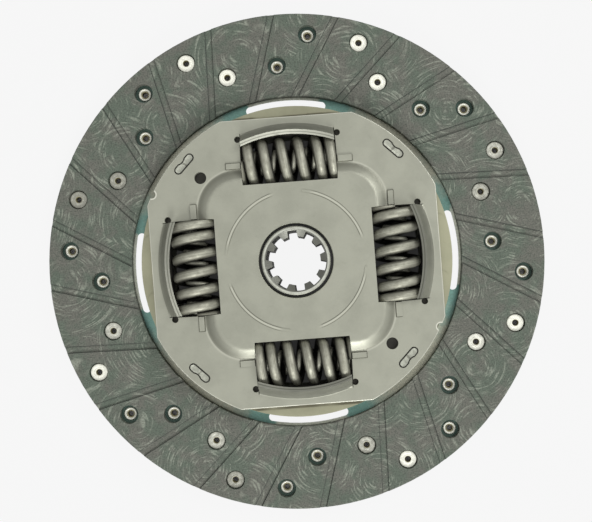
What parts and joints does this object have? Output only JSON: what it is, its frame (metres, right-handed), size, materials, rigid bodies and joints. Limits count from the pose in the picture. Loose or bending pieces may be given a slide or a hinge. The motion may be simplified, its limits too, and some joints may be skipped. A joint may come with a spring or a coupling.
{
  "type": "clutch disc",
  "caption": "Clutch disc: friction facings riveted to a cushion disc, a torsion damper with nested coil springs in windows, and a splined hub.",
  "frame": {"origin": "on the hub's axis, at the rear end of the hub on which the disc rests", "axes": "+Z along the hub's axis, towards the front side of the disc"},
  "size_m": [0.24, 0.24, 0.0246],
  "materials": {
    "friction_lining": "dry moulded friction composite",
    "rivet_steel": "plated semi-tubular rivets",
    "spring_steel_sheet": "tempered blue-green",
    "plate_steel": "phosphated pressed sheet",
    "tab_steel": "staked bright steel",
    "hub_steel": "machined forging",
    "coil_steel": "oiled dark spring wire",
    "dark_polymer": "black moulded bush"
  },
  "bodies": {
    "disc": {"front_facing": "friction_lining", "rear_facing": "friction_lining", "front_outer_rivets": "rivet_steel", "front_inner_rivets": "rivet_steel", "rear_outer_rivets": "rivet_steel", "rear_inner_rivets": "rivet_steel", "cushion_disc": "spring_steel_sheet", "front_plate": "plate_steel", "rear_plate": "plate_steel", "plate_rivets": "rivet_steel", "front_bush": "dark_polymer", "rear_bush": "dark_polymer", "front_friction_washer": "friction_lining", "rear_friction_washer": "friction_lining", "pressure_ring": "plate_steel", "thrust_ring": "plate_steel", "diaphragm_spring": "spring_steel_sheet", "spacer_tab_1": "tab_steel", "spacer_tab_2": "tab_steel", "spacer_tab_3": "tab_steel", "spacer_tab_4": "tab_steel"},
    "springs": {"outer_spring_1": "coil_steel", "inner_spring_1": "coil_steel", "outer_spring_2": "coil_steel", "inner_spring_2": "coil_steel", "outer_spring_3": "coil_steel", "inner_spring_3": "coil_steel", "outer_spring_4": "coil_steel", "inner_spring_4": "coil_steel"},
    "hub": {"hub": "hub_steel"}
  },
  "joints": [
    {"name": "hub_twist", "type": "hinge", "parent": "disc", "child": "hub", "pos_m": [0, 0, 0.013], "axis": [0, 0, 1], "range_deg": [-8, 8], "stiffness_Nm_per_rad": 3200},
    {"name": "spring_turn", "type": "hinge", "parent": "disc", "child": "springs", "pos_m": [0, 0, 0.013], "axis": [0, 0, 1], "range_deg": [-4, 4], "deforming": ["outer_spring_1", "inner_spring_1", "outer_spring_2", "inner_spring_2", "outer_spring_3", "inner_spring_3", "outer_spring_4", "inner_spring_4"]}
  ],
  "couplings": [
    {"joint": "spring_turn", "follows": "hub_twist", "ratio": 0.5}
  ]
}
